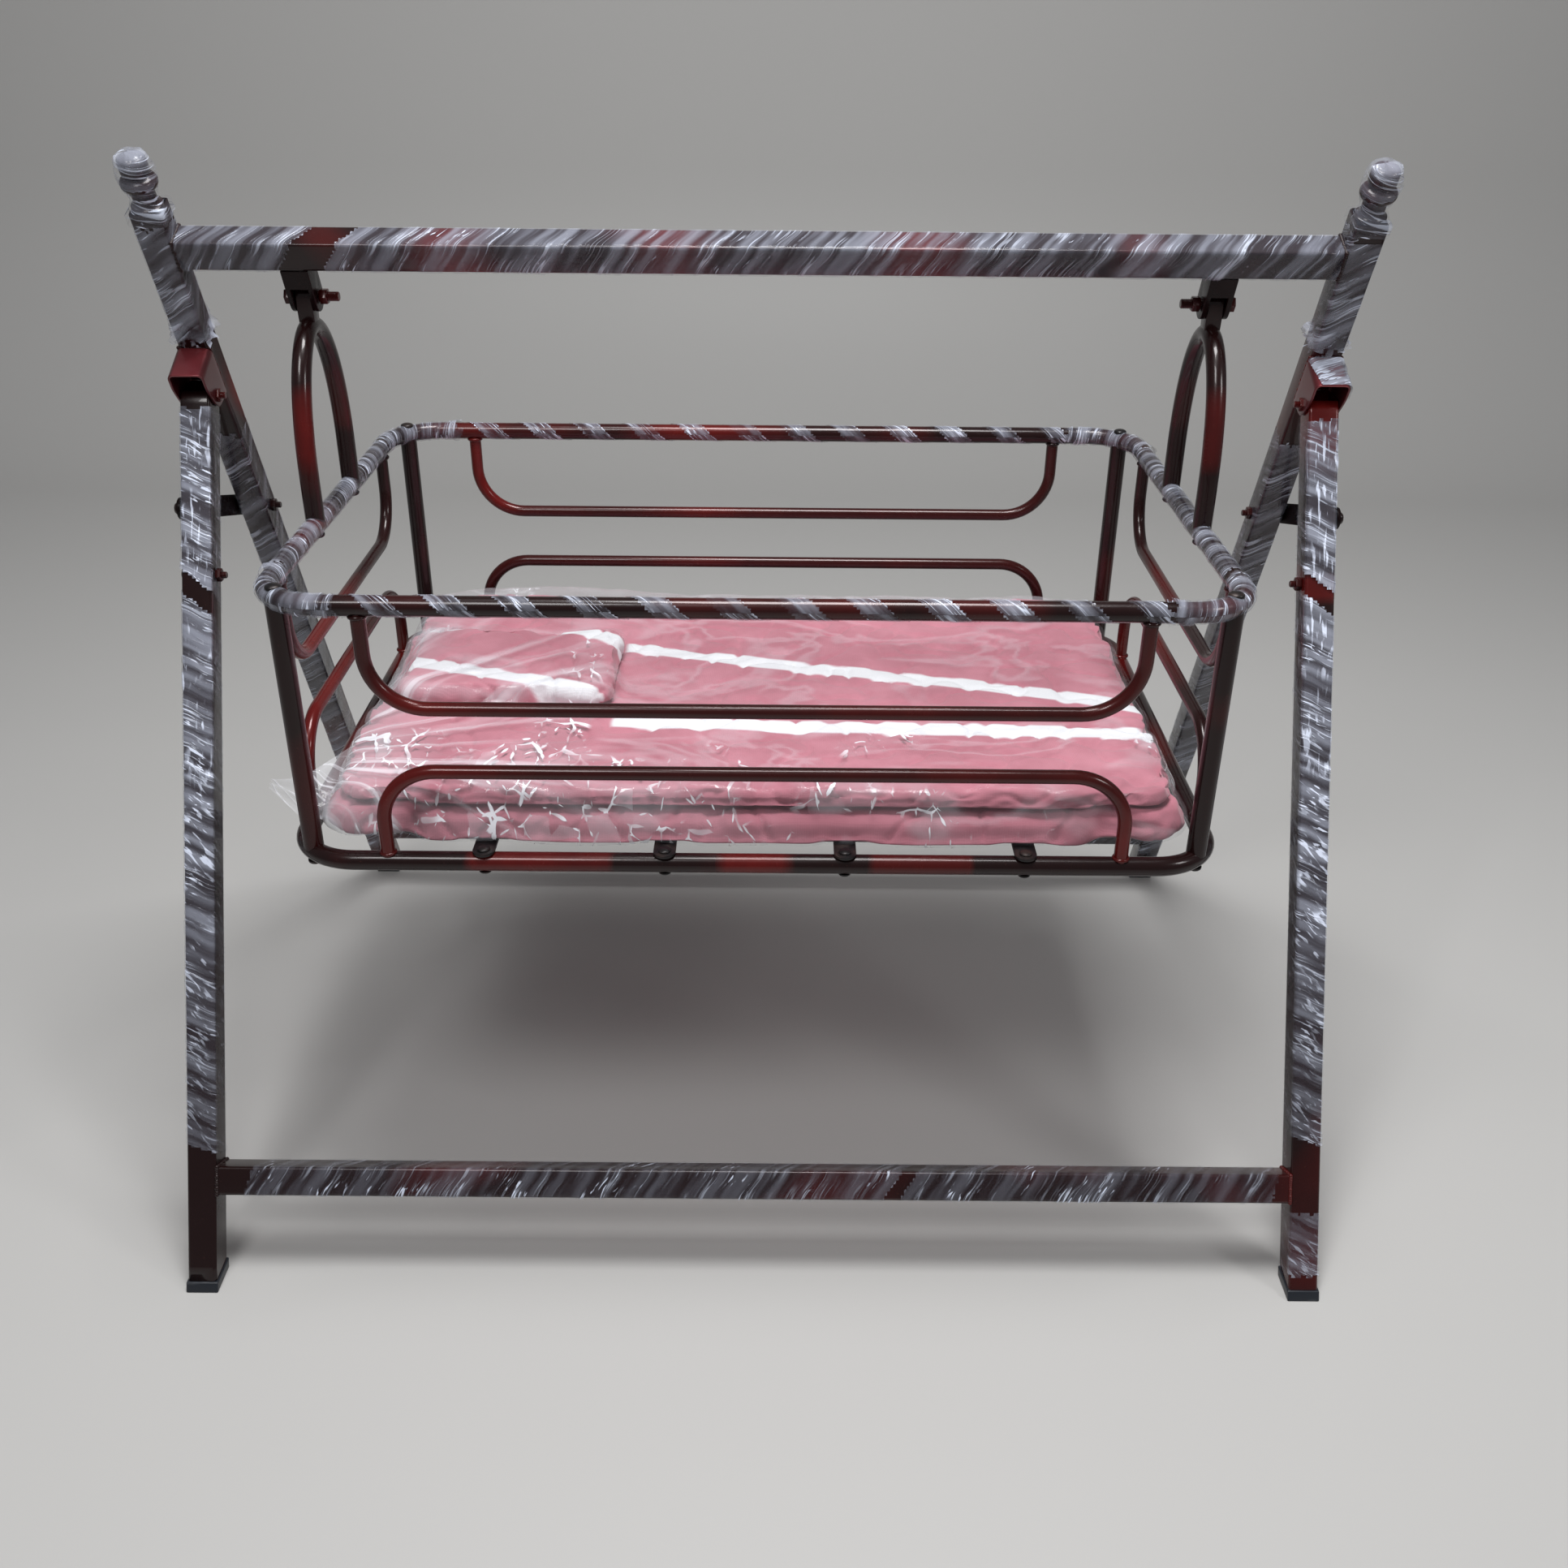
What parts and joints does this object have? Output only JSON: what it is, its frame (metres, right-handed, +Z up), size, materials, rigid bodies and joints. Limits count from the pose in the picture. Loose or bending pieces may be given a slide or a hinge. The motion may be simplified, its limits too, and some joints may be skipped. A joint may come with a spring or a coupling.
{
  "type": "baby cradle swing",
  "caption": "Folding steel-tube stand with a swinging railed basket for a baby, hung from hoops under the top beam, with a slatted floor and padded bedding.",
  "frame": {"origin": "on the floor, midway between the four feet", "axes": "+X along the top beam, to the right seen from the front; -Y is the front; +Z is up"},
  "size_m": [0.996, 0.7264, 0.8877],
  "materials": {
    "maroon_paint": "glossy translucent maroon paint",
    "dark_maroon_paint": "glossy paint, near black",
    "black_bolt": "black, satin",
    "black_plastic": "moulded, satin",
    "pink_cloth": "soft woven cloth"
  },
  "bodies": {
    "rear_frame": {"left_clevis": "dark_maroon_paint", "left_finial": "maroon_paint", "left_hinge_bolt": "dark_maroon_paint", "left_hinge_bracket": "maroon_paint", "left_rear_foot_cap": "black_plastic", "left_stay_bolt": "dark_maroon_paint", "left_swing_bolt": "maroon_paint", "left_swing_nut": "maroon_paint", "left_upright": "maroon_paint", "rear_stretcher": "maroon_paint", "right_clevis": "dark_maroon_paint", "right_finial": "maroon_paint", "right_hinge_bolt": "dark_maroon_paint", "right_hinge_bracket": "maroon_paint", "right_rear_foot_cap": "black_plastic", "right_stay_bolt": "dark_maroon_paint", "right_swing_bolt": "maroon_paint", "right_swing_nut": "maroon_paint", "right_upright": "maroon_paint", "top_beam": "maroon_paint"},
    "front_frame": {"front_stretcher": "maroon_paint", "left_front_foot_cap": "black_plastic", "left_front_leg": "maroon_paint", "left_leg_bolt": "dark_maroon_paint", "right_front_foot_cap": "black_plastic", "right_front_leg": "maroon_paint", "right_leg_bolt": "dark_maroon_paint"},
    "left_stay": {"left_stay": "dark_maroon_paint"},
    "right_stay": {"right_stay": "dark_maroon_paint"},
    "basket": {"back_left_post": "maroon_paint", "back_left_tie_bolt": "black_bolt", "back_long_slat": "black_bolt", "back_lower_rod": "maroon_paint", "back_right_post": "maroon_paint", "back_right_tie_bolt": "black_bolt", "back_upper_rod": "maroon_paint", "bottom_ring": "maroon_paint", "cross_slat_1": "black_bolt", "cross_slat_2": "black_bolt", "cross_slat_3": "black_bolt", "cross_slat_4": "black_bolt", "folded_quilt": "pink_cloth", "front_left_post": "maroon_paint", "front_left_tie_bolt": "black_bolt", "front_long_slat": "black_bolt", "front_lower_rod": "maroon_paint", "front_right_post": "maroon_paint", "front_right_tie_bolt": "black_bolt", "front_upper_rod": "maroon_paint", "left_hanger": "maroon_paint", "left_lower_rod": "maroon_paint", "left_upper_rod": "maroon_paint", "mattress": "pink_cloth", "middle_long_slat": "black_bolt", "pillow": "pink_cloth", "right_hanger": "maroon_paint", "right_lower_rod": "maroon_paint", "right_upper_rod": "maroon_paint", "top_ring": "maroon_paint"}
  },
  "joints": [
    {"name": "stand_fold", "type": "hinge", "parent": "rear_frame", "child": "front_frame", "pos_m": [0, -0.01789, 0.689], "axis": [1, 0, 0], "range_deg": [0, 42]},
    {"name": "left_stay_lift", "type": "hinge", "parent": "rear_frame", "child": "left_stay", "pos_m": [-0.476, 0.07881, 0.56184], "axis": [1, 0, 0], "range_deg": [-31, 0]},
    {"name": "right_stay_lift", "type": "hinge", "parent": "rear_frame", "child": "right_stay", "pos_m": [0.476, 0.07881, 0.56184], "axis": [1, 0, 0], "range_deg": [-31, 0]},
    {"name": "swing", "type": "hinge", "parent": "rear_frame", "child": "basket", "pos_m": [0, -0.02186, 0.77197], "axis": [1, 0, 0], "range_deg": [-30, 30]}
  ],
  "couplings": [
    {"joint": "left_stay_lift", "follows": "stand_fold", "ratio": -0.72},
    {"joint": "right_stay_lift", "follows": "stand_fold", "ratio": -0.72}
  ]
}
